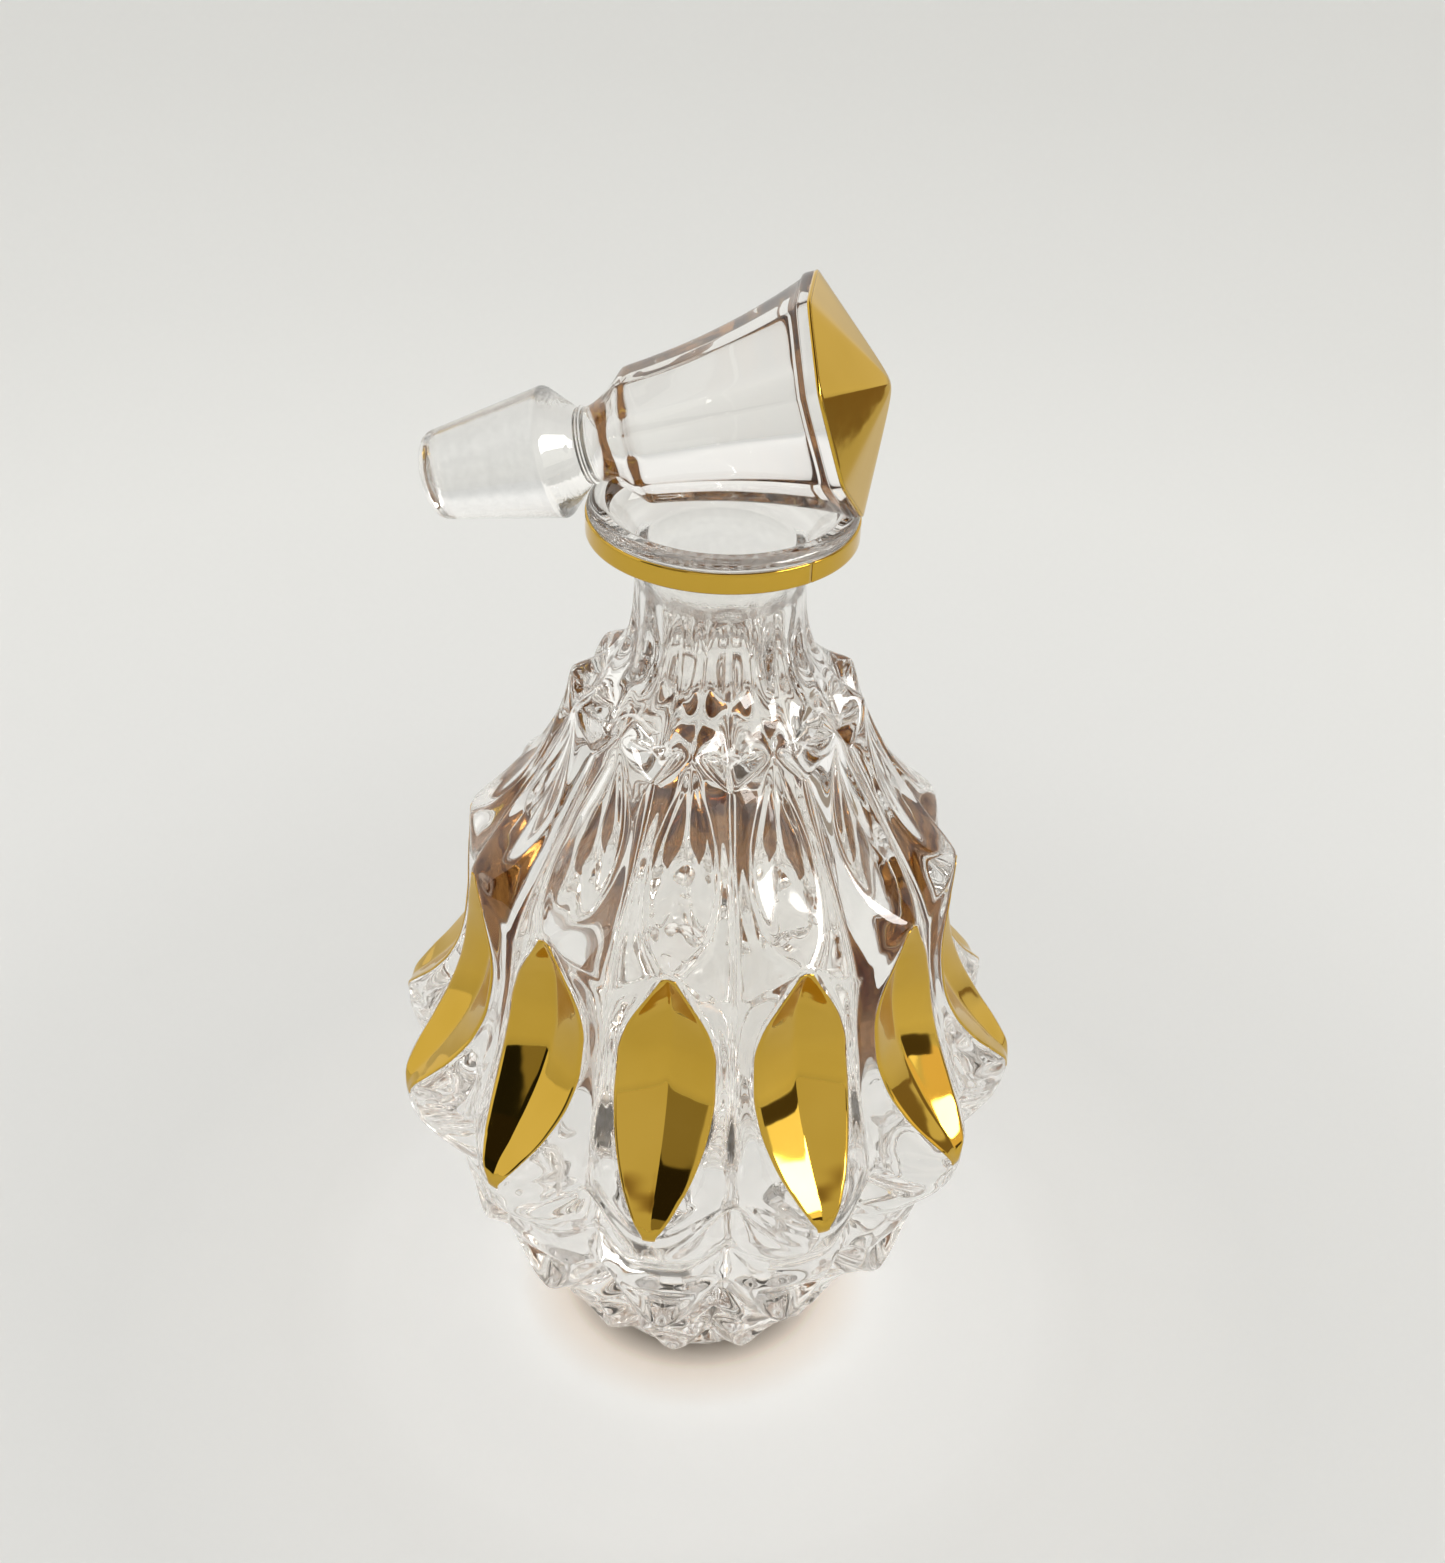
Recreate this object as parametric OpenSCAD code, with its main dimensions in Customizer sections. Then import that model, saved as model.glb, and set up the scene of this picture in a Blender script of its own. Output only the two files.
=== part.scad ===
// Moulded lead-glass perfume bottle with gilt petals and a loose ground stopper.
// Millimetres. The origin is the centre of the foot, and +Z runs up through the mouth.
// The stopper lies across the mouth, with its waist on one side of the rim and its head on the other.

/* [Bottle] */
// Height from the table to the top of the rim
rim_z = 150; // [140:1:165]
// Widest diameter, across the lower tips of two opposite petals
body_d = 98.4; // [90:0.2:108]
// Diameter of the foot that stands on the table
foot_d = 35; // [28:0.5:36]
// Thickness of glass under the cavity
base_t = 8.4; // [6:0.2:12]

/* [Mouth] */
// Diameter of the lip over its gilt band
lip_d = 38.4; // [36:0.2:39.4]
// Height of the gilt band
band_h = 3; // [2:0.1:3.4]
// Width of the butt seam in the gilt band
seam_w = 0.2; // [0.1:0.05:0.5]
// Where the seam is, in degrees from the front
seam_at = 47; // [0:1:359]
// Diameter of the throat, at the top of the ground socket
throat_d = 20.4; // [19.6:0.1:21.6]
// Diameter of the neck's straight bore, under the ground socket
bore_d = 18; // [16:0.1:19]

/* [Gilding] */
// Thickness that stands for the gold film
film_t = 0.3; // [0.2:0.05:0.6]

/* [Stopper] */
// Length of the ground plug
plug_h = 18.6; // [17.4:0.2:19.4]
// Diameter of the plug's small end
plug_tip_d = 12.6; // [11:0.1:14]
// Diameter of the plug's large end
plug_d = 18.6; // [17:0.1:19.4]
// Diameter of the waist between plug and head
waist_d = 10.4; // [9:0.1:10.6]
// Width across the corners of the head, where it is widest
head_d = 33.8; // [30:0.2:34]
// Distance from the plug's small end to the girdle, the widest part of the head
head_z = 57.4; // [56.8:0.2:58.4]
// Height of the girdle under the gilt pyramid
girdle_h = 2.4; // [2:0.2:3]
// Height of the gilt pyramid on the head
cap_h = 7.4; // [5:0.1:10]

/* [Resting pose of the stopper] */
// Rise of the stopper's axis towards its head, in degrees
lie_tilt = 16.9; // [16.5:0.1:17.2]
// Turn of the stopper's axis about the bottle's axis, in degrees
lie_yaw = 2; // [0:1:359]
// Turn of the stopper about its own axis, in degrees
lie_roll = 22.5; // [21.5:0.5:24]

/* [Hidden] */
columns = 12;                 // petals round the bottle, one column of facets over each
sector = 360 / columns;
neck_z = rim_z - 11;          // the round collar under the lip ends here
stretch = neck_z / 139;       // heights below are for a 150 mm bottle
foot_r = foot_d / 2;
lip_r = lip_d / 2;
band_r = lip_r - film_t;
band_z = rim_z - 1.7 - band_h;
throat_r = throat_d / 2;
throat_z = rim_z - 6;
taper = (plug_d - plug_tip_d) / 2 / plug_h;
bore_r = bore_d / 2;
shoulder_z = 30.6;            // the stopper's head begins here, above the plug's small end
shoulder_r = 9.6;             // half width of the head across its corners, where it begins
corner = 0.6;                 // bevel between the girdle and the head's two ends
socket_h = min(14, (throat_r - bore_r) / taper);
// The middle of the girdle's gilt end, with the stopper at rest on the rim
rest_at = [15, 3.1, rim_z + 15.7];

// Heights at which the skin has a ring of points. The tips of the five tiers are at
// 4.1, 25.7, 56.4, 95 and 121, and the gilt petals run from 56.4 to 94.6.
petal_low = 56.4;
petal_top = 94.6;
levels = [
    0, 2.4, 4.1, 7, 11, 13.5, 16, 20, 24, 25.7, 27.5, 30, 33.5, 35.5, 38, 42, 46.5, 51,
    54.4, petal_low, 58.2, 60.5, 63.5, 67, 71, 75.5, 80, 84.5, 89, 92.4, petal_top, 95.4,
    97.5, 101, 105, 109, 113, 117, 119.6, 121, 123, 125.5, 128, 131, 134.5, 139
];

// The cross-section of a column runs from the crease in the middle of its leaf, out to
// the leaf's edge, then down to the valley between two columns. Each curve below says
// [height, value]; angles are in degrees for a sector of 30.
leaf_angle = [
    [0, 8], [2.4, 1.5], [4.1, 1], [7, 4.5], [11, 8], [13.5, 9], [16, 7], [20, 4], [24, 1.5],
    [25.7, 1], [27.5, 3.5], [30, 6], [33.5, 8.4], [35.5, 9], [38, 8], [46.5, 4], [51, 2],
    [54.4, 1], [56.4, 1], [58.2, 2.2], [60.5, 4.2], [65, 7.4], [70, 9.8], [75, 10.8], [80, 10.8],
    [85, 9.1], [90, 5.7], [93, 2.8], [94.6, 1], [95.4, 1], [97.5, 4], [101, 8], [105, 9.8],
    [109, 9.5], [113, 7], [117, 3], [119.6, 1], [121, 1], [123, 5], [125.5, 9], [128, 11],
    [139, 11.4]
];
crease = [
    [0, 17.5], [2.4, 20.6], [4.1, 23.2], [7, 23.6], [11, 25.4], [13.5, 27.8], [16, 29.4],
    [20, 31.8], [24, 35.4], [25.7, 38.2], [27.5, 37], [30, 36.6], [33.5, 38], [35.5, 39.7],
    [38, 40.2], [42, 41.8], [46.5, 45.4], [51, 48.6], [54.4, 49.2], [56.4, 49.2], [58.2, 48.6],
    [62, 45.1], [65.3, 42.1], [68.4, 39.7], [71.3, 37.9], [76, 35.9], [82, 34.9], [87, 35],
    [90, 35.6], [94.6, 37.5], [95.4, 37.5], [97.5, 34.2], [101, 30.2], [105, 26.9], [109, 24.7],
    [113, 23.2], [117, 22.2], [119.6, 21.9], [121, 21.7], [123, 17.6], [125.5, 14.4],
    [128, 12.9], [131, 12.2], [139, 12.1]
];
edge = [
    [0, 17.5], [2.4, 20.4], [4.1, 23.1], [7, 24.5], [11, 26.8], [13.5, 28.6], [16, 28.6],
    [20, 30.6], [24, 34.8], [25.7, 38.1], [27.5, 38.4], [30, 38.8], [33.5, 39.4], [35.5, 39.9],
    [38, 39.7], [42, 41], [46.5, 44.6], [51, 48], [54.4, 49], [56.4, 49.1], [58.2, 48.9],
    [60.5, 47.4], [65, 43.8], [70, 40.6], [75, 38.7], [80, 37.7], [85, 37.4], [94.6, 37.5],
    [95.4, 37.4], [97.5, 35.6], [101, 32.4], [105, 28.9], [109, 26.4], [113, 24.2], [117, 22.6],
    [119.6, 21.9], [121, 21.6], [123, 18.2], [125.5, 15.2], [128, 13.7], [131, 12.8], [139, 12.2]
];
valley = [
    [0, 17.5], [4.1, 18.6], [7, 20], [11, 22.6], [16, 25], [20, 27], [25.7, 29.8], [30, 32.6],
    [35.5, 37.2], [38, 38.4], [42, 39], [46.5, 39.9], [51, 41], [56.4, 42.4], [58.2, 43.6],
    [60.5, 42.8], [65, 40.6], [70, 38.6], [75, 37.2], [80, 36.3], [85, 35.7], [90, 35],
    [94.6, 33], [97.5, 31.4], [101, 29.2], [105, 26.7], [109, 24.4], [113, 22.2], [117, 19.9],
    [121, 17.8], [123, 16.3], [125.5, 15], [128, 13.8], [131, 13], [139, 12.2]
];
// The smooth wall of the cavity, from the end of the neck's bore down to its floor
cavity = [
    [123, 10.2], [120, 11.6], [117, 14], [113, 16.5], [107, 19.8], [102, 22.6],
    [97, 25.2], [91, 27.8], [84, 29.8], [76, 31.3], [66, 32.7], [58, 33], [51, 32.4],
    [43, 30.6], [35, 28], [27.5, 25], [19.5, 20], [13.5, 14]
];

// Below the neck the radii follow body_d, and at the table they follow foot_d.
function widen(z) = 1 + (body_d / 98.4 - 1) * min(1, max(0, (125 - z) / 30));
function at_foot(z) = (foot_r - 17.5) * max(0, 1 - z / 4);
function ring_r(curve, z) = lookup(z, curve) * widen(z) + at_foot(z);
function skin_angle(z, j) = let (w = lookup(z, leaf_angle) * sector / 30)
    [-sector / 2, -w, 0, w][j];
function skin_r(z, j) = ring_r([valley, edge, crease, edge][j], z);
// Point j of column c at height z: 0 is the valley, 1 and 3 the leaf's edges, 2 its crease
function skin_point(z, c, j, proud = 0) =
    let (a = c * sector - 90 + skin_angle(z, j), r = skin_r(z, j) + proud)
    [r * cos(a), r * sin(a), z * stretch];

// A closed solid through rings of n points each, the first ring lowest.
module loft(points, n) {
    rings = len(points) / n;
    faces = concat(
        [[for (i = [0:n - 1]) i]],
        [for (k = [0:rings - 2], i = [0:n - 1]) [k * n + i, (k + 1) * n + (i + 1) % n, k * n + (i + 1) % n]],
        [for (k = [0:rings - 2], i = [0:n - 1]) [k * n + i, (k + 1) * n + i, (k + 1) * n + (i + 1) % n]],
        [[for (i = [n - 1:-1:0]) (rings - 1) * n + i]]
    );
    polyhedron(points, faces);
}

module lip() {
    rotate_extrude($fn = 96)
        polygon([
            [0, neck_z - 3], [11, neck_z - 3], [11, neck_z], [12.3, neck_z],
            [12.8, neck_z + 2.6], [13.5, neck_z + 3.8], [15, neck_z + 4.8],
            [band_r - 1, band_z - 0.5], [band_r, band_z],
            [band_r, band_z + band_h], [lip_r - 0.1, band_z + band_h], [lip_r - 0.4, rim_z - 0.7],
            [lip_r - 1.2, rim_z], [0, rim_z]
        ]);
}

// The funnel, the ground socket, the neck's bore and the cavity
module inside() {
    wall = [for (p = cavity) [p[1] * widen(p[0]), p[0] * stretch]];
    rotate_extrude($fn = 96)
        polygon(concat(
            [
                [0, rim_z + 1], [lip_r - 1.8, rim_z + 1], [lip_r - 1.8, rim_z],
                [lip_r - 2.6, rim_z - 0.8], [lip_r - 5.4, rim_z - 3.6], [throat_r + 1, throat_z + 0.6],
                [throat_r, throat_z], [bore_r, throat_z - socket_h], [bore_r, 128 * stretch]
            ],
            wall,
            [[7, base_t + 1], [0, base_t]]
        ));
}

module bottle_body() {
    color([0.93, 0.94, 0.93, 0.45])
        difference() {
            union() {
                loft([for (z = levels, c = [0:columns - 1], j = [0:3]) skin_point(z, c, j)],
                    4 * columns);
                lip();
            }
            inside();
        }
}

module lip_band() {
    color([0.83, 0.66, 0.28])
        difference() {
            translate([0, 0, band_z]) cylinder(h = band_h, r = lip_r, $fn = 96);
            translate([0, 0, band_z - 1]) cylinder(h = band_h + 2, r = band_r, $fn = 96);
            rotate([0, 0, seam_at - 90])
                translate([band_r - 1, -seam_w / 2, band_z - 1]) cube([3, seam_w, band_h + 2]);
        }
}

// Gold over the V-shaped leaf of one column. Its back lies on the skin's own facets.
module petal(c) {
    zs = [for (z = levels) if (z >= petal_low && z <= petal_top) z];
    n = len(zs);
    back = [for (z = zs, j = [1:3]) skin_point(z, c, j)];
    front = [for (z = zs, j = [1:3]) skin_point(z, c, j, film_t)];
    f = 3 * n;
    color([0.83, 0.66, 0.28])
        polyhedron(concat(back, front), concat(
            [for (k = [0:n - 2], i = [0:1]) [3 * k + i, 3 * k + i + 1, 3 * k + i + 4]],
            [for (k = [0:n - 2], i = [0:1]) [3 * k + i, 3 * k + i + 4, 3 * k + i + 3]],
            [for (k = [0:n - 2], i = [0:1]) [f + 3 * k + i, f + 3 * k + i + 4, f + 3 * k + i + 1]],
            [for (k = [0:n - 2], i = [0:1]) [f + 3 * k + i, f + 3 * k + i + 3, f + 3 * k + i + 4]],
            [for (k = [0:n - 2]) [3 * k, 3 * k + 3, f + 3 * k + 3, f + 3 * k]],
            [for (k = [0:n - 2]) [3 * k + 2, f + 3 * k + 2, f + 3 * k + 5, 3 * k + 5]],
            [for (i = [0:1]) [i, f + i, f + i + 1, i + 1]],
            [for (i = [0:1]) [f - 3 + i, f - 2 + i, 2 * f - 2 + i, 2 * f - 3 + i]]
        ));
}

// Puts a stopper that stands on its plug's small end into its resting pose across the mouth.
module lying() {
    translate(rest_at)
        rotate([0, 0, lie_yaw])
            rotate([0, 90 - lie_tilt, 0])
                rotate([0, 0, lie_roll])
                    translate([0, 0, -head_z - girdle_h])
                        children();
}

// Half width of the head across its corners, t running from its shoulder (0) to its girdle (1)
function head_r(t) =
    shoulder_r + (head_d / 2 - corner - shoulder_r) * (0.45 * t + 0.55 * pow(t, 2.2));

module stopper_glass() {
    ring = [for (k = [0:10]) [head_r(k / 10), shoulder_z + (head_z - shoulder_z) * k / 10]];
    head = concat(
        [[7.2, shoulder_z - 2.2]], ring,
        [[head_d / 2, head_z + corner], [head_d / 2, head_z + girdle_h]]
    );
    color([0.93, 0.94, 0.93, 0.45])
        lying() {
            rotate_extrude($fn = 72)
                polygon([
                    [0, 0], [plug_tip_d / 2 - 1.2, 0.3], [plug_tip_d / 2 - 0.2, 1.2],
                    [plug_tip_d / 2 + 1.6 * taper, 1.6], [plug_d / 2, plug_h],
                    [plug_d / 2 - 0.3, plug_h + 0.6], [waist_d / 2 + 0.2, plug_h + 3.6],
                    [waist_d / 2, plug_h + 4.4], [waist_d / 2, plug_h + 6.2],
                    [6, plug_h + 8], [7, shoulder_z - 2.2], [7, shoulder_z + 2], [0, shoulder_z + 2]
                ]);
            loft([for (p = head, k = [0:7]) [p[0] * cos(45 * k), p[0] * sin(45 * k), p[1]]], 8);
            translate([0, 0, head_z + girdle_h])
                cylinder(h = cap_h - film_t, r1 = head_d / 2 - corner, r2 = 0.5, $fn = 8);
        }
}

// Gold over the eight-sided pyramid on the head
module stopper_cap() {
    color([0.83, 0.66, 0.28])
        lying()
            translate([0, 0, head_z + girdle_h])
                difference() {
                    cylinder(h = cap_h, r1 = head_d / 2, r2 = 0.9, $fn = 8);
                    translate([0, 0, -1]) cylinder(h = 1, r = head_d, $fn = 8);
                    cylinder(h = cap_h - film_t, r1 = head_d / 2 - corner, r2 = 0.5, $fn = 8);
                }
}

bottle_body();
lip_band();
petal(0);  // petal_01
petal(1);  // petal_02
petal(2);  // petal_03
petal(3);  // petal_04
petal(4);  // petal_05
petal(5);  // petal_06
petal(6);  // petal_07
petal(7);  // petal_08
petal(8);  // petal_09
petal(9);  // petal_10
petal(10);  // petal_11
petal(11);  // petal_12
stopper_glass();
stopper_cap();
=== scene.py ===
import math

import bpy
import numpy as np
from mathutils import Matrix, Vector


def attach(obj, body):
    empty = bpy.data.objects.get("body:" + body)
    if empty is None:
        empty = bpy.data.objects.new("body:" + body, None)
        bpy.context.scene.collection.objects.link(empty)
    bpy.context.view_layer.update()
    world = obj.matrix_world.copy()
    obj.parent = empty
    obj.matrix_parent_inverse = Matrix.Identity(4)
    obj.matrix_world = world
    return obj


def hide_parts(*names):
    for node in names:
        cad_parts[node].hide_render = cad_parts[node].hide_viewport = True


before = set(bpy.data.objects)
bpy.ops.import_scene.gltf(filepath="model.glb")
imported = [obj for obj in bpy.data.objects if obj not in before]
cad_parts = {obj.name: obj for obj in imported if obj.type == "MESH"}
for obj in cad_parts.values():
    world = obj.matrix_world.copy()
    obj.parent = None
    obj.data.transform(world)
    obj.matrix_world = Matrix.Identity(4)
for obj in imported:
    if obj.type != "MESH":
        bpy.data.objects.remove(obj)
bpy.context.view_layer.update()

MM = 0.001

# ---------------------------------------------------------------- the bottle's curves
# Heights and radii in millimetres, bottom to top. A curve is a list of tiers, and the
# surface has an edge where one tier ends and the next begins.
COLUMNS = 12
HALF = 180 / COLUMNS
CREASE = [
    [(0, 17.5), (1.2, 18.6), (2.6, 21), (4.1, 23.2)],
    [(4.1, 23.2), (5.5, 23.1), (8, 23.7), (11, 25.4), (13.5, 27.7)],
    [(13.5, 27.7), (16, 29), (20, 31.6), (23.4, 35), (25.7, 38.2)],
    [(25.7, 38.2), (27.2, 37), (30, 36.4), (33, 37.6), (35.5, 39.7)],
    [(35.5, 39.7), (38, 40.2), (42, 41.8), (46.5, 45.2), (51, 48.5), (54.6, 49.2)],
    [(54.6, 49.2), (56.4, 49.2), (58.4, 48.5), (62, 45.1), (65.3, 42.1), (68.4, 39.7),
     (71.3, 37.9), (76, 35.9), (82, 34.9), (87, 35), (90, 35.6), (95, 37.5)],
    [(95, 37.5), (97.5, 34.6), (101, 30.8), (105, 27.4), (109, 24.9), (113, 23.2),
     (117, 22.1), (121, 21.7)],
    [(121, 21.7), (122.6, 18), (125.5, 14.4), (128, 12.9), (131, 12.2), (135, 12.0), (139, 12.1)],
]
EDGE = [
    [(0, 17.5), (1.2, 18.5), (2.6, 20.8), (4.1, 23.1)],
    [(4.1, 23.1), (7, 24.5), (11, 26.8), (13.5, 28.4)],
    [(13.5, 28.4), (16, 28.9), (20, 31), (23.4, 34.6), (25.7, 38.1)],
    [(25.7, 38.1), (27.5, 38.4), (30, 38.8), (33, 39.4), (35.5, 39.9)],
    [(35.5, 39.9), (38, 39.9), (42, 41), (46.5, 44.6), (51, 48), (54.6, 49.1)],
    [(54.6, 49.1), (56.4, 49.1), (58.2, 48.9), (60.5, 47.4), (65, 43.8), (70, 40.6),
     (75, 38.7), (80, 37.8), (85, 37.4), (90, 37.4), (95, 37.5)],
    [(95, 37.5), (97.5, 35.6), (101, 32.4), (105, 28.9), (109, 26.4), (113, 24.2),
     (117, 22.6), (121, 21.6)],
    [(121, 21.6), (122.6, 18.6), (125.5, 15.2), (128, 13.7), (131, 12.8), (135, 12.3), (139, 12.2)],
]
VALLEY = [
    [(0, 17.5), (3, 18.6), (7.1, 21)],
    [(7.1, 21), (10, 22), (14.5, 24.6), (20, 27.4), (26, 30), (30.7, 33.6)],
    [(30.7, 33.6), (34, 35), (37.5, 38)],
    [(37.5, 38), (42, 38.9), (47, 39.7), (52, 41.2), (58.2, 43.6)],
    [(58.2, 43.6), (60.5, 42.7), (65, 40.6), (70, 38.7), (75, 37.3), (80, 36.2), (88, 35.3)],
    [(88, 35.3), (92, 33.9), (97, 31.4), (101, 29), (105, 26.6), (109, 24.4), (112, 22.8),
     (116, 20.6)],
    [(116, 20.6), (118, 19.2), (121, 17.3), (125, 15.1), (129, 13.4), (133, 12.6), (139, 12.2)],
]
# Half-width of a leaf, in degrees
WIDTH = [
    [(0, 5), (4.1, 0.8)],
    [(4.1, 0.8), (7, 4.5), (11, 8), (13.5, 9)],
    [(13.5, 9), (16, 7), (20, 4), (25.7, 0.8)],
    [(25.7, 0.8), (27.5, 3.5), (30, 6), (33, 8.2), (35.5, 9)],
    [(35.5, 9), (38, 8), (46.5, 4), (54.6, 0.8)],
    [(54.6, 0.8), (56.2, 0.8), (58, 2), (60.5, 4), (65, 7.2), (70, 9.6), (75, 10.6), (80, 10.6),
     (85, 9.1), (90, 5.7), (93, 2.8), (95, 0.8)],
    [(95, 0.8), (97.5, 4.2), (101, 8), (105, 9.8), (109, 9.5), (113, 7), (117, 3.4), (121, 0.8)],
    [(121, 0.8), (123, 5), (125.5, 9), (128, 11), (139, 11.4)],
]
# How far the surface lies above its own row of points in the valley, in millimetres
LIFT = [[(0, 0), (4.1, 3), (13.5, 1), (25.7, 5), (35.5, 2), (46, 1), (54.6, 3.6), (65, 0),
         (80, 0), (88, -2), (95, -7), (105, -2), (113, -2), (121, -5), (126, -1), (139, 0)]]
# 1 where a leaf is a sharp groove, 0 where it is a hollowed flute
GROOVE = [[(0, 0.2), (50, 0.4), (54.6, 1), (95, 1), (99, 0.15), (116, 0.15), (121, 0.2), (139, 0.2)]]
PETAL_LOW, PETAL_TOP = 56.0, 94.6
NECK_Z, NECK_WIDTH = 139.0, 11.4
# The smooth wall of the cavity, from the end of the neck's bore down to its floor
CAVITY = [(128, 9.0), (123, 10.2), (120, 11.5), (117, 14), (113, 16.5), (107, 19.8), (102, 22.6),
          (97, 25.2), (91, 27.8), (84, 29.8), (76, 31.3), (66, 32.7), (58, 33), (51, 32.4),
          (43, 30.6), (35, 28), (27.5, 25), (19.5, 20), (13.5, 14), (10, 8.5), (8.8, 4)]


def monotone(keys, at):
    """A smooth curve through keys that doesn't overshoot between them."""
    x, y = np.array(keys, float).T
    at = np.clip(at, x[0], x[-1])
    step, slope = np.diff(x), np.diff(y) / np.diff(x)
    m = np.zeros_like(x)
    m[0], m[-1] = slope[0], slope[-1]
    for i in range(1, len(x) - 1):
        a, b = slope[i - 1], slope[i]
        if a * b > 0:
            p, q = 2 * step[i] + step[i - 1], step[i] + 2 * step[i - 1]
            m[i] = (p + q) / (p / a + q / b)
    i = np.clip(np.searchsorted(x, at, side="right") - 1, 0, len(x) - 2)
    t = (at - x[i]) / step[i]
    return (
        (1 + 2 * t) * (1 - t) ** 2 * y[i] + t * (1 - t) ** 2 * step[i] * m[i]
        + t * t * (3 - 2 * t) * y[i + 1] + t * t * (t - 1) * step[i] * m[i + 1]
    )


def curve(tiers, at):
    """The value at each height, from the tier that holds it."""
    at = np.asarray(at, float)
    out = np.zeros_like(at)
    for k, tier in enumerate(tiers):
        held = at >= tier[0][0] if k else np.ones(at.shape, bool)
        out[held] = monotone(tier, at[held])
    return out


CREASE_ROUNDING = 0.04        # of a leaf's half-width
EDGE_ROUNDING = 0.22          # millimetres
FLANK_STRAIGHT = 0.35         # share of a straight line in the flank's S-shaped curve


def sharp_skin(z, phi):
    """Radius and height of the glass, from its row at the crease and degrees from a column's middle."""
    z, phi = np.broadcast_arrays(np.asarray(z, float), np.asarray(phi, float))
    side = np.abs((phi + HALF) % (2 * HALF) - HALF)
    w = curve(WIDTH, z)
    lift = curve(LIFT, z)
    height = z + lift * (side / HALF) ** 1.5
    crease, edge = curve(CREASE, z), curve(EDGE, z)
    valley = curve(VALLEY, z + lift)
    vee = curve(GROOVE, z)
    t = side / w
    soft = np.sqrt(t * t + CREASE_ROUNDING ** 2) - CREASE_ROUNDING * np.maximum(0, 1 - t)
    leaf = crease + (edge - crease) * (vee * soft + (1 - vee) * t * t)
    u = np.clip((HALF - side) / (HALF - w), 0, 1)
    rise = FLANK_STRAIGHT * u + (1 - FLANK_STRAIGHT) * u * u * (3 - 2 * u)
    flank = valley + (edge - valley) * rise
    lower = -EDGE_ROUNDING * np.logaddexp(-leaf / EDGE_ROUNDING, -flank / EDGE_ROUNDING)
    fill = EDGE_ROUNDING * np.log(2) * np.exp(-np.abs(leaf - flank) / (2 * EDGE_ROUNDING))
    return lower + fill, height


def skin(z, phi):
    """The pressed glass: the sharp surface averaged over about a millimetre, or less in a petal."""
    z, phi = np.broadcast_arrays(np.asarray(z, float), np.asarray(phi, float))
    in_petal = (z > PETAL_LOW - 1) & (z < PETAL_TOP) & (np.abs(phi) < curve(WIDTH, z))
    reach = np.where(in_petal, 0.14, 0.42) * np.clip(np.minimum(z, NECK_Z - z) / 1.5, 0, 1)
    degrees = np.degrees(reach / curve(CREASE, z))
    total, r, height = 0, 0, 0
    for i in (-2, -1, 0, 1, 2):
        for j in (-2, -1, 0, 1, 2):
            weight = math.exp(-(i * i + j * j) / 3)
            a, b = sharp_skin(np.clip(z + i * reach, 0, NECK_Z), phi + j * degrees)
            r, height, total = r + weight * a, height + weight * b, total + weight
    return r / total, height / total


def to_points(r, height, degrees):
    """Places in metres, with 0 degrees at the front and +X at 90."""
    a = np.radians(degrees - 90)
    return np.stack([r * np.cos(a), r * np.sin(a), height + 0 * r], axis=-1) * MM


# ---------------------------------------------------------------- meshes
def make_object(name, verts, faces, materials, face_slots=None, smooth=True):
    mesh = bpy.data.meshes.new(name)
    mesh.from_pydata(verts.reshape(-1, 3).tolist(), [], faces)
    for m in materials:
        mesh.materials.append(m)
    if face_slots is not None:
        mesh.polygons.foreach_set("material_index", np.asarray(face_slots, np.int32))
    mesh.polygons.foreach_set("use_smooth", np.full(len(mesh.polygons), smooth))
    mesh.update()
    ob = bpy.data.objects.new(name, mesh)
    bpy.context.scene.collection.objects.link(ob)
    return ob


def ring_faces(rings, n, first=0):
    """Quads between closed rings of n points each."""
    return [
        (first + k * n + i, first + k * n + (i + 1) % n, first + (k + 1) * n + (i + 1) % n,
         first + (k + 1) * n + i)
        for k in range(rings - 1) for i in range(n)
    ]


def capped(rings):
    """Closes a stack of rings with a fan at each end. rings is (m, n, 3)."""
    m, n, _ = rings.shape
    verts = np.concatenate([rings.reshape(-1, 3), [rings[0].mean(0)], [rings[-1].mean(0)]])
    faces = ring_faces(m, n)
    faces += [(m * n, (i + 1) % n, i) for i in range(n)]
    faces += [(m * n + 1, (m - 1) * n + i, (m - 1) * n + (i + 1) % n) for i in range(n)]
    return verts, faces


def shell(front, back):
    """A closed sheet between two grids (rows, across, 3). Returns faces, and which are back."""
    rows, across, _ = front.shape
    size = rows * across
    grid = [(k * across + i, k * across + i + 1, (k + 1) * across + i + 1, (k + 1) * across + i)
            for k in range(rows - 1) for i in range(across - 1)]
    loop = (list(range(across))
            + [k * across + across - 1 for k in range(1, rows)]
            + [(rows - 1) * across + i for i in range(across - 2, -1, -1)]
            + [k * across for k in range(rows - 2, 0, -1)])
    rim = [(loop[j], size + loop[j], size + loop[(j + 1) % len(loop)], loop[(j + 1) % len(loop)])
           for j in range(len(loop))]
    faces = grid + [tuple(size + v for v in reversed(f)) for f in grid] + rim
    slots = [0] * len(grid) + [1] * len(grid) + [0] * len(rim)
    return np.concatenate([front.reshape(-1, 3), back.reshape(-1, 3)]), faces, slots


def along(tiers, spacing):
    """Heights up a tiered curve, with one at each tier's ends."""
    out = [tiers[0][0][0]]
    for tier in tiers:
        a, b = tier[0][0], tier[-1][0]
        n = max(2, int(math.ceil((b - a) / spacing)))
        out += list(a + (b - a) * np.arange(1, n + 1) / n)
    return np.array(out)


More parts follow.
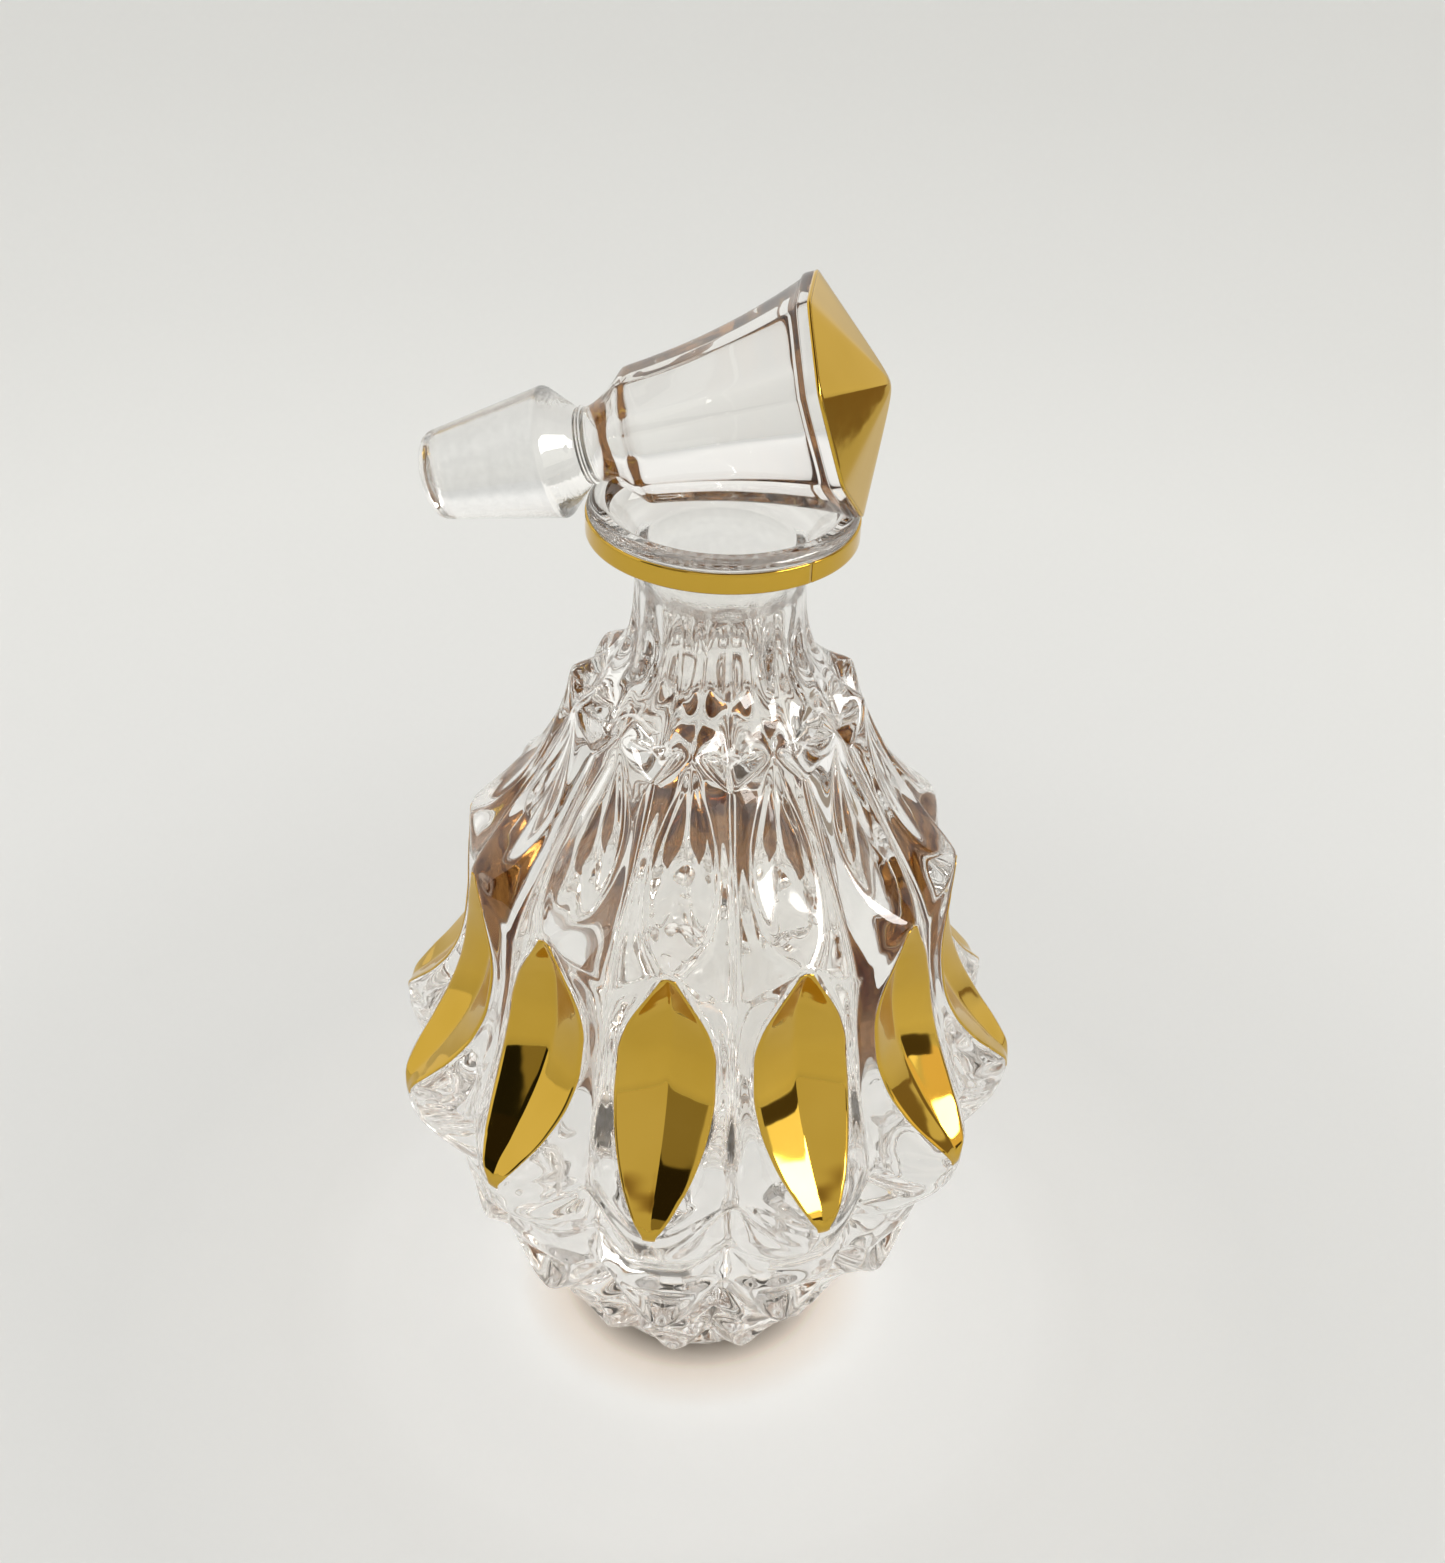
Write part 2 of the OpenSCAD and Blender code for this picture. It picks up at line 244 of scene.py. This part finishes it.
# ---------------------------------------------------------------- materials
LEAD_GLASS_IOR = 1.53


def principled(name, **sockets):
    m = bpy.data.materials.new(name)
    m.use_nodes = True
    b = m.node_tree.nodes["Principled BSDF"]
    for key, value in sockets.items():
        b.inputs[key.replace("_", " ")].default_value = value
    return m, m.node_tree, b


def noise(nt, scale, detail=2.0):
    coord = nt.nodes.new("ShaderNodeTexCoord")
    n = nt.nodes.new("ShaderNodeTexNoise")
    n.inputs["Scale"].default_value = scale
    n.inputs["Detail"].default_value = detail
    nt.links.new(coord.outputs["Object"], n.inputs["Vector"])
    return n.outputs["Fac"]


def ramp(nt, fac, stops):
    r = nt.nodes.new("ShaderNodeValToRGB")
    el = r.color_ramp.elements
    while len(el) < len(stops):
        el.new(0.5)
    for e, (at, colour) in zip(el, stops):
        e.position, e.color = at, (*colour, 1)
    nt.links.new(fac, r.inputs["Fac"])
    return r.outputs["Color"]


def roughness(nt, bsdf, fac, low, high):
    spread = nt.nodes.new("ShaderNodeMapRange")
    spread.inputs["To Min"].default_value = low
    spread.inputs["To Max"].default_value = high
    nt.links.new(fac, spread.inputs["Value"])
    nt.links.new(spread.outputs["Result"], bsdf.inputs["Roughness"])


def bump(nt, bsdf, fac, strength, distance):
    b = nt.nodes.new("ShaderNodeBump")
    b.inputs["Strength"].default_value = strength
    b.inputs["Distance"].default_value = distance
    nt.links.new(fac, b.inputs["Height"])
    nt.links.new(b.outputs["Normal"], bsdf.inputs["Normal"])


def glass_material(name):
    m, nt, b = principled(name, Transmission_Weight=1.0, IOR=LEAD_GLASS_IOR, Roughness=0.0)
    b.inputs["Base Color"].default_value = (0.980, 0.973, 0.955, 1)
    bump(nt, b, noise(nt, 90), 0.25, 0.0004)
    return m


def frosted_material(name):
    """The ground faces of the plug and the socket."""
    m, nt, b = principled(name, Transmission_Weight=1.0, IOR=LEAD_GLASS_IOR)
    grey = ramp(nt, noise(nt, 900, 3.0), [(0.35, (0.90, 0.90, 0.89)), (0.65, (0.97, 0.97, 0.96))])
    nt.links.new(grey, b.inputs["Base Color"])
    roughness(nt, b, noise(nt, 500), 0.03, 0.11)
    bump(nt, b, noise(nt, 2500, 3.0), 0.3, 0.0001)
    return m


def gold_material(name):
    m, nt, b = principled(name, Metallic=1.0)
    gold = ramp(nt, noise(nt, 60, 3.0), [(0.3, (0.57, 0.355, 0.045)), (0.7, (0.63, 0.40, 0.062))])
    nt.links.new(gold, b.inputs["Base Color"])
    roughness(nt, b, noise(nt, 260, 4.0), 0.03, 0.09)
    bump(nt, b, noise(nt, 160), 0.12, 0.0003)
    return m


def gold_back_material(name):
    """The underside of the film, seen through the glass: reddish brown, and less bright."""
    m, nt, b = principled(name, Metallic=1.0, Roughness=0.12)
    brown = ramp(nt, noise(nt, 120, 4.0), [(0.3, (0.27, 0.115, 0.030)), (0.7, (0.37, 0.17, 0.046))])
    nt.links.new(brown, b.inputs["Base Color"])
    return m


GLASS = glass_material("clear_lead_glass")
FROST = frosted_material("ground_glass")
GOLD = gold_material("polished_gold_film")
GOLD_BACK = gold_back_material("gold_film_underside")

# ---------------------------------------------------------------- bottle
PER_HALF_LEAF, PER_HALF_FLANK = ((13, 11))
ROW = 0.38
STOPPER_POINTS = 192


def column_angles(widths):
    """(rows, n): degrees across one column, with points on its middle and on the leaf's two edges."""
    w = np.asarray(widths, float)[:, None]
    leaf = w * np.linspace(0, 1, PER_HALF_LEAF + 1)[None, :-1]
    flank = w + (HALF - w) * np.linspace(0, 1, PER_HALF_FLANK + 1)[None, :]
    half = np.concatenate([leaf, flank], axis=1)
    return np.concatenate([-half[:, :0:-1], half[:, :-1]], axis=1)


def faceted(zs):
    """(rows, n, 3): the glass all round, a ring for each row of the skin."""
    phi = column_angles(curve(WIDTH, zs))
    r, height = skin(zs[:, None], phi)
    turns = [to_points(r, height, phi + 2 * HALF * c) for c in range(COLUMNS)]
    return np.concatenate(turns, axis=1)


def revolved(profile):
    """(rows, n, 3) for a profile of (radius, height), in step with faceted."""
    phi = column_angles([NECK_WIDTH])[0]
    degrees = np.concatenate([phi + 2 * HALF * c for c in range(COLUMNS)])
    return np.stack([to_points(np.full(len(degrees), r), h, degrees) for r, h in profile])


def arc(centre, radius, start, end, steps=6):
    a = np.radians(np.linspace(start, end, steps))
    return [(centre[0] + radius * math.cos(t), centre[1] + radius * math.sin(t)) for t in a]


RIM_Z, LIP_R, BAND_Z, BAND_H = 150.0, 19.2, 145.3, 3.0
THROAT_Z, THROAT_R, TAPER = 143.8, 10.2, 0.1613
BORE_R, BASE_T = 9.0, 8.4
SEAM, SEAM_HALF = 47.0, 0.35  # degrees


def bottle_body():
    skin_rows = faceted(along(CREASE, ROW))
    foot = [(0.6, 1.1), (8, 1.1), (14, 0.9), (16, 0.25), (16.8, 0)]
    lip = ([(12.25, 139.6), (12.4, 140.6), (12.8, 141.6), (13.4, 142.7), (15, 143.8)]
           + [(16.8, 144.5), (18.2, 144.95), (LIP_R - 0.45, BAND_Z), (LIP_R - 0.35, BAND_Z + 0.1),
              (LIP_R - 0.35, BAND_Z + BAND_H - 0.1), (LIP_R - 0.25, BAND_Z + BAND_H)]
           + arc((LIP_R - 1.5, RIM_Z - 1.35), 1.3, 8, 90)
           + arc((LIP_R - 2.3, RIM_Z - 0.9), 0.9, 90, 135, 4))
    funnel = [(15.9, 149), (14.9, 147.9), (13.8, 146.6), (12.6, 145.3), (11.4, 144.5), (10.6, 144.15),
              (THROAT_R, THROAT_Z)]
    socket = [(THROAT_R - TAPER * d, THROAT_Z - d) for d in np.linspace(0.25, 7.3, 12)]
    bore = [(BORE_R, 136), (BORE_R, 133), (BORE_R, 129.5)]
    wall_zs = np.linspace(127.9, 8.8, 120)
    walls = list(zip(monotone(CAVITY[::-1], wall_zs), wall_zs))
    cavity_floor = [(2.0, BASE_T + 0.05), (0.5, BASE_T)]
    profiles = [lip, funnel, socket, bore + walls + cavity_floor]
    rings = np.concatenate([revolved(foot), skin_rows] + [revolved(p) for p in profiles])
    verts, faces = capped(rings)
    slots = np.zeros(len(faces), int)
    n = rings.shape[1]
    start = (len(foot) + len(skin_rows) + len(lip) + len(funnel) - 1) * n
    slots[start:start + len(socket) * n] = 1
    ob = make_object("bottle_glass", verts, faces, [GLASS, FROST], slots)
    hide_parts("bottle_body")
    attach(ob, "bottle")


def normals(grid):
    """Outward unit normals of a grid of points (rows upward, across to the right)."""
    up = np.gradient(grid, axis=0)
    right = np.gradient(grid, axis=1)
    n = np.cross(right, up)
    return n / np.linalg.norm(n, axis=-1, keepdims=True)


FILM_HALF = 0.10              # half the thickness that the film is drawn with


def petal(c):
    """A sheet of gold in the surface of the glass, bright outside and brown inside."""
    zs = np.linspace(PETAL_LOW, PETAL_TOP, 96)
    w = curve(WIDTH, zs)[:, None] + 0.3
    s = np.linspace(-1, 1, 33)[None, :]
    phi = w * np.sign(s) * np.abs(s) ** 0.9
    r, height = skin(zs[:, None], phi)
    surface = to_points(r, height, phi + 2 * HALF * c)
    out = normals(surface) * FILM_HALF * MM
    verts, faces, slots = shell(surface + out, surface - out)
    ob = make_object(f"gilt_petal_{c + 1:02d}", verts, faces, [GOLD, GOLD_BACK], slots)
    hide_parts(f"petal_{c + 1:02d}")
    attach(ob, "bottle")


def lip_band():
    """The gilt band: a rounded strip that meets itself at a butt seam."""
    degrees = np.linspace(SEAM + SEAM_HALF, SEAM + 360 - SEAM_HALF, 241)
    section = [(LIP_R - 0.3, BAND_Z - 0.02), (LIP_R - 0.08, BAND_Z), (LIP_R - 0.01, BAND_Z + 0.12),
               (LIP_R, BAND_Z + 0.5), (LIP_R, BAND_Z + BAND_H - 0.5),
               (LIP_R - 0.01, BAND_Z + BAND_H - 0.12), (LIP_R - 0.08, BAND_Z + BAND_H),
               (LIP_R - 0.3, BAND_Z + BAND_H + 0.02)]
    front = np.stack([to_points(np.full(len(degrees), r), h, degrees) for r, h in section])
    back = np.stack([to_points(np.full(len(degrees), LIP_R - 0.42), h, degrees) for _, h in section])
    verts, faces, slots = shell(front, back)
    ob = make_object("gilt_lip_band", verts, faces, [GOLD, GOLD_BACK], slots)
    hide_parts("lip_band")
    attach(ob, "bottle")


# ---------------------------------------------------------------- stopper
SHOULDER_Z, SHOULDER_R = 30.8, 9.65
HEAD_Z, GIRDLE_H, HEAD_R, CAP_H = 57.4, 2.4, 16.9, 7.4
GIRDLE_TOP = HEAD_Z + GIRDLE_H
APEX_R = 1.4
FROSTED = (2.3, 18.4)
# The middle of the girdle's gilt end at rest, and the turns that lay the stopper across the mouth
REST_AT = (15.0, 3.1, 165.7)
YAW, TILT, ROLL = 2, 16.9, 22.5
LYING = (
    Matrix.Translation(Vector(REST_AT) * MM)
    @ Matrix.Rotation(math.radians(YAW), 4, "Z")
    @ Matrix.Rotation(math.radians(90 - TILT), 4, "Y")
    @ Matrix.Rotation(math.radians(ROLL), 4, "Z")
    @ Matrix.Translation((0, 0, -GIRDLE_TOP * MM))
)
# The plug, the waist and the shoulder: radius, height, and how eight-sided (0 to 1)
STOPPER = [
    (0.4, 0.0, 0), (2.5, 0.02, 0), (4.2, 0.18, 0), (5.2, 0.5, 0), (5.9, 1.0, 0), (6.3, 1.7, 0),
    (6.45, 2.4, 0), (9.2, 18.2, 0), (9.3, 18.6, 0), (9.25, 19.0, 0), (8.9, 19.5, 0), (6.2, 22.3, 0),
    (5.5, 23.0, 0), (5.3, 23.4, 0), (5.45, 23.7, 0), (5.6, 23.9, 0), (5.45, 24.1, 0),
    (5.25, 24.4, 0), (5.3, 25.0, 0), (5.6, 25.9, 0), (6.2, 27.0, 0.1), (7.1, 28.2, 0.3),
    (8.2, 29.4, 0.6), (9.1, 30.2, 0.9), (9.6, 30.8, 1),
]


def octagon(r, h, sides, degrees, corner=0.985):
    """A ring that runs from a circle (sides 0) to an octagon with softened corners (1)."""
    a = np.radians((degrees + 22.5) % 45 - 22.5)
    half = math.radians(22.5)
    flat = math.cos(half) / np.cos(half - np.abs(a))
    sharpness = 60
    soft = -np.logaddexp(-sharpness * flat, -sharpness * corner) / sharpness
    soft = soft / soft.max() * corner
    rr = r * ((1 - sides) + sides * soft)
    t = np.radians(degrees)
    return np.stack([rr * np.cos(t), rr * np.sin(t), np.full(len(t), h)], axis=-1)


def head_r(t):
    """The head's flare, t running from its shoulder (0) to its girdle (1)."""
    return SHOULDER_R + (HEAD_R - 0.6 - SHOULDER_R) * (0.45 * t + 0.55 * t ** 2.2)


def pyramid_rings(degrees, steps, top, base_r):
    """From the girdle's edge up to a rounded apex."""
    rings = []
    for t in np.linspace(0, 1, steps):
        r = base_r * (1 - t)
        h = top * t - (math.sqrt(r * r + APEX_R ** 2) - r) * 0.45
        rings.append(octagon(max(r, 0.05), h, 1, degrees))
    return np.stack(rings)


def place(points):
    """Points in millimetres, up from the plug's small end, moved to the resting pose in metres."""
    m = np.array(LYING)
    return points * MM @ m[:3, :3].T + m[:3, 3]


def dense(profile, spacing):
    """The profile with more points along its long stretches."""
    out = [profile[0]]
    for a, b in zip(profile, profile[1:]):
        n = max(1, int(math.hypot(b[0] - a[0], b[1] - a[1]) / spacing))
        out += [tuple(a[i] + (b[i] - a[i]) * k / n for i in range(3)) for k in range(1, n + 1)]
    return out


def stopper_glass(degrees):
    n = len(degrees)
    profile = dense(STOPPER, 0.6)
    flare = np.linspace(0.03, 0.985, 44)
    profile += [(head_r(t), SHOULDER_Z + (HEAD_Z - SHOULDER_Z) * t, 1) for t in flare]
    profile += [(HEAD_R - 0.5, HEAD_Z - 0.05, 1), (HEAD_R - 0.12, HEAD_Z + 0.25, 1), (HEAD_R, HEAD_Z + 0.6, 1),
                (HEAD_R, GIRDLE_TOP - 0.3, 1), (HEAD_R - 0.15, GIRDLE_TOP, 1)]
    rings = np.stack([octagon(r, h, s, degrees) for r, h, s in profile])
    top = pyramid_rings(degrees, 24, CAP_H - 0.15, HEAD_R - 0.25)[1:] + [0, 0, GIRDLE_TOP]
    verts, faces = capped(place(np.concatenate([rings, top])))
    slots = np.zeros(len(faces), int)
    for k in range(len(profile) - 1):
        if FROSTED[0] < profile[k][1] < FROSTED[1]:
            slots[k * n:(k + 1) * n] = 1
    ob = make_object("stopper_glass_piece", verts, faces, [GLASS, FROST], slots)
    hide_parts("stopper_glass")
    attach(ob, "stopper")


def stopper_cap(degrees):
    """Gold over the pyramid, turned down a little over the girdle's edge."""
    rim = [octagon(HEAD_R + 0.04, -0.5, 1, degrees), octagon(HEAD_R + 0.04, -0.15, 1, degrees)]
    outer = np.concatenate([rim, pyramid_rings(degrees, 40, CAP_H, HEAD_R - 0.1)])
    inner = pyramid_rings(degrees, 40, CAP_H - 0.35, HEAD_R - 0.5) - [0, 0, 0.05]
    inner = np.concatenate([[octagon(HEAD_R - 0.3, -0.5, 1, degrees)], inner])
    rings = np.concatenate([inner[::-1], outer]) + [0, 0, GIRDLE_TOP]
    verts, faces = capped(place(rings))
    slots = np.zeros(len(faces), int)
    slots[:(len(inner) - 1) * len(degrees)] = 1
    ob = make_object("gilt_stopper_cap", verts, faces, [GOLD, GOLD_BACK], slots)
    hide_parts("stopper_cap")
    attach(ob, "stopper")


bottle_body()
lip_band()
for column in range(COLUMNS):
    petal(column)
stopper_degrees = np.arange(STOPPER_POINTS) * 360 / STOPPER_POINTS
stopper_glass(stopper_degrees)
stopper_cap(stopper_degrees)


# ---------------------------------------------------------------- floor, light, camera
def floor():
    """White paper with painted light on it: painted shade under the foot, a painted pool of light round it,
    darker towards the distance, and an emitted glow round the foot that stands in for the light the glass
    gathers there.
    """
    size, below_foot = 1.1, 0.00005
    corners = np.array([(-1, -1, 0), (1, -1, 0), (1, 1, 0), (-1, 1, 0)]) * size - [0, 0, below_foot]
    m, nt, b = principled("paper_floor_painted_shade_and_glow", Roughness=0.75)
    coord = nt.nodes.new("ShaderNodeTexCoord")
    # A ramp runs from 0 to 1, so distances are halved: 0.5 on it is a metre from the bottle.
    halved = nt.nodes.new("ShaderNodeVectorMath")
    halved.operation = "SCALE"
    halved.inputs["Scale"].default_value = 0.5
    length = nt.nodes.new("ShaderNodeVectorMath")
    length.operation = "LENGTH"
    nt.links.new(coord.outputs["Object"], halved.inputs[0])
    nt.links.new(halved.outputs["Vector"], length.inputs[0])
    # Painted shade and light in the paper's colour: dark under the foot, lighter round it to make up for the
    # bottle's shade, then darker with distance.
    paper = ramp(nt, length.outputs["Value"], [
        (0.0085, (0.18, 0.155, 0.12)), (0.0100, (0.93, 0.92, 0.90)), (0.0275, (0.93, 0.925, 0.905)),
        (0.033, (0.89, 0.885, 0.865)), (0.05, (0.79, 0.79, 0.775)), (0.07, (0.78, 0.78, 0.765)),
        (0.1, (0.81, 0.81, 0.795)), (0.165, (0.82, 0.82, 0.80)), (0.25, (0.765, 0.765, 0.745)),
        (0.4, (0.715, 0.715, 0.695)), (0.52, (0.70, 0.70, 0.68))])
    nt.links.new(paper, b.inputs["Base Color"])
    # A painted glow: the paper emits light round the foot, warm at its inner edge, in place of the light that
    # the glass gathers there.
    painted_glow = ramp(nt, length.outputs["Value"], [
        (0.009, (0.0, 0.0, 0.0)), (0.0105, (0.20, 0.09, 0.02)), (0.0125, (0.30, 0.25, 0.19)),
        (0.0155, (0.26, 0.26, 0.255)), (0.021, (0.12, 0.12, 0.12)), (0.0275, (0.05, 0.05, 0.05)),
        (0.034, (0.0, 0.0, 0.0))])
    nt.links.new(painted_glow, b.inputs["Emission Color"])
    b.inputs["Emission Strength"].default_value = 1.0
    ob = make_object("floor", corners, [(0, 1, 2, 3)], [m], smooth=False)


def area(name, at, to, size, power, colour):
    light = bpy.data.lights.new(name, "AREA")
    light.shape = "RECTANGLE"
    light.size, light.size_y = size
    light.energy = power
    light.color = colour
    ob = bpy.data.objects.new(name, light)
    ob.location = at
    ob.rotation_euler = (Vector(to) - Vector(at)).to_track_quat("-Z", "Y").to_euler()
    bpy.context.scene.collection.objects.link(ob)


MIDDLE = Vector((0, 0, 0.08))


def polar(azimuth, elevation, distance):
    """A place seen from the bottle's middle: azimuth from -Y towards +X, in degrees."""
    a, e = math.radians(azimuth), math.radians(elevation)
    return MIDDLE + distance * Vector(
        (math.sin(a) * math.cos(e), -math.cos(a) * math.cos(e), math.sin(e)))


# The room is what the gold and the glass show. The soft light is what the paper gets.
ROOM_STRENGTH, SOFT_STRENGTH = 0.97, 0.955
# Patches of the room: azimuth, elevation, half-width and half-height in degrees, then the tone.
# Later ones lie on top. The first is all that lies below the table's top.
ROOM = [
    (0, -50, 400, 49.5, (0.72, 0.72, 0.70)),
    (121, -7, 11, 6, (0.30, 0.22, 0.14)),
    (-110, 20, 55, 60, (1.05, 1.04, 1.00)),
    (15, 10, 48, 32, (0.80, 0.79, 0.75)),
    (-32, 18, 13, 26, (0.36, 0.33, 0.27)),
    (-49, 18, 9, 24, (0.02, 0.02, 0.02)),
    (-38, 39, 18, 7, (0.03, 0.025, 0.02)),
    (70, 12, 9, 14, (1.7, 1.66, 1.5)),
    (90, 14, 9, 12, (1.2, 1.0, 0.8)),
    (72, 2, 14, 5, (0.10, 0.08, 0.06)),
    (112, 10, 8, 22, (0.30, 0.24, 0.18)),
    (78, 34, 20, 8, (17.0, 16.8, 16.4)),
]


def sky():
    """The room: a bright window to the right, a dark figure at the left front, pale walls."""
    world = bpy.data.worlds.new("room")
    bpy.context.scene.world = world
    # The window in the room map must not light the paper: only reflections and the glass find it.
    world.cycles.sampling_method = "NONE"
    world.use_nodes = True
    nt = world.node_tree
    bg = nt.nodes["Background"]

    def math_node(operation, *values):
        node = nt.nodes.new("ShaderNodeMath")
        node.operation = operation
        for socket, value in zip(node.inputs, values):
            if isinstance(value, (int, float)):
                socket.default_value = value
            else:
                nt.links.new(value, socket)
        return node.outputs[0]

    coord = nt.nodes.new("ShaderNodeTexCoord").outputs["Generated"]
    part = nt.nodes.new("ShaderNodeSeparateXYZ")
    nt.links.new(coord, part.inputs["Vector"])
    x, y, z = part.outputs
    azimuth = math_node("DEGREES", math_node("ARCTAN2", x, math_node("MULTIPLY", y, -1)))
    elevation = math_node("DEGREES", math_node("ARCSINE", z))
    colour = ramp(nt, z, [
        (0.0, (1.0, 0.995, 0.97)), (0.5, (0.90, 0.88, 0.85)), (0.68, (0.50, 0.42, 0.34)),
        (0.80, (0.12, 0.075, 0.045))])

    def distance(angle, middle, half):
        return math_node("DIVIDE", math_node("ABSOLUTE", math_node("SUBTRACT", angle, middle)), half)

    for at, up, half_width, half_height, tone in ROOM:
        across, upward = distance(azimuth, at, half_width), distance(elevation, up, half_height)
        inside = nt.nodes.new("ShaderNodeMapRange")
        inside.interpolation_type = "SMOOTHSTEP"
        inside.inputs["From Min"].default_value = 1.12
        inside.inputs["From Max"].default_value = 0.92
        nt.links.new(math_node("MAXIMUM", across, upward), inside.inputs["Value"])
        mix = nt.nodes.new("ShaderNodeMix")
        mix.data_type = "RGBA"
        nt.links.new(inside.outputs["Result"], mix.inputs["Factor"])
        nt.links.new(colour, mix.inputs["A"])
        mix.inputs["B"].default_value = (*tone, 1)
        colour = mix.outputs["Result"]
    nt.links.new(colour, bg.inputs["Color"])
    bg.inputs["Strength"].default_value = ROOM_STRENGTH
    soft = nt.nodes.new("ShaderNodeBackground")
    soft.inputs["Color"].default_value = (1.0, 0.995, 0.975, 1)
    soft.inputs["Strength"].default_value = SOFT_STRENGTH
    path = nt.nodes.new("ShaderNodeLightPath")
    pick = nt.nodes.new("ShaderNodeMixShader")
    plain = math_node("MAXIMUM", path.outputs["Is Diffuse Ray"], path.outputs["Is Camera Ray"])
    nt.links.new(plain, pick.inputs["Fac"])
    nt.links.new(bg.outputs["Background"], pick.inputs[1])
    nt.links.new(soft.outputs["Background"], pick.inputs[2])
    nt.links.new(pick.outputs["Shader"], nt.nodes["World Output"].inputs["Surface"])


floor()
sky()
area("window", polar(90, 50, 1.2), MIDDLE, (0.7, 0.5), 0.4, (1.0, 0.98, 0.95))

EYE, AIM = Vector((0.0363, -0.2614, 0.2767)), Vector((0.0014, 0.0002, 0.1033))
CAMERA_ROLL = math.radians(2.35)
cam_data = bpy.data.cameras.new("camera")
cam_data.lens = 48.37
cam_data.sensor_width = 36
cam_data.clip_start = 0.01
camera = bpy.data.objects.new("camera", cam_data)
bpy.context.scene.collection.objects.link(camera)
camera.location = EYE
towards = (AIM - EYE).to_track_quat("-Z", "Y").to_matrix().to_4x4()
camera.rotation_euler = (towards @ Matrix.Rotation(CAMERA_ROLL, 4, "Z")).to_euler()
bpy.context.scene.camera = camera
bpy.context.scene.view_settings.view_transform = "Standard"
# Light turns many times inside cut glass, so it gets more bounces than usual.
cycles = bpy.context.scene.cycles
cycles.max_bounces = 24
cycles.transmission_bounces = 24
cycles.glossy_bounces = 9
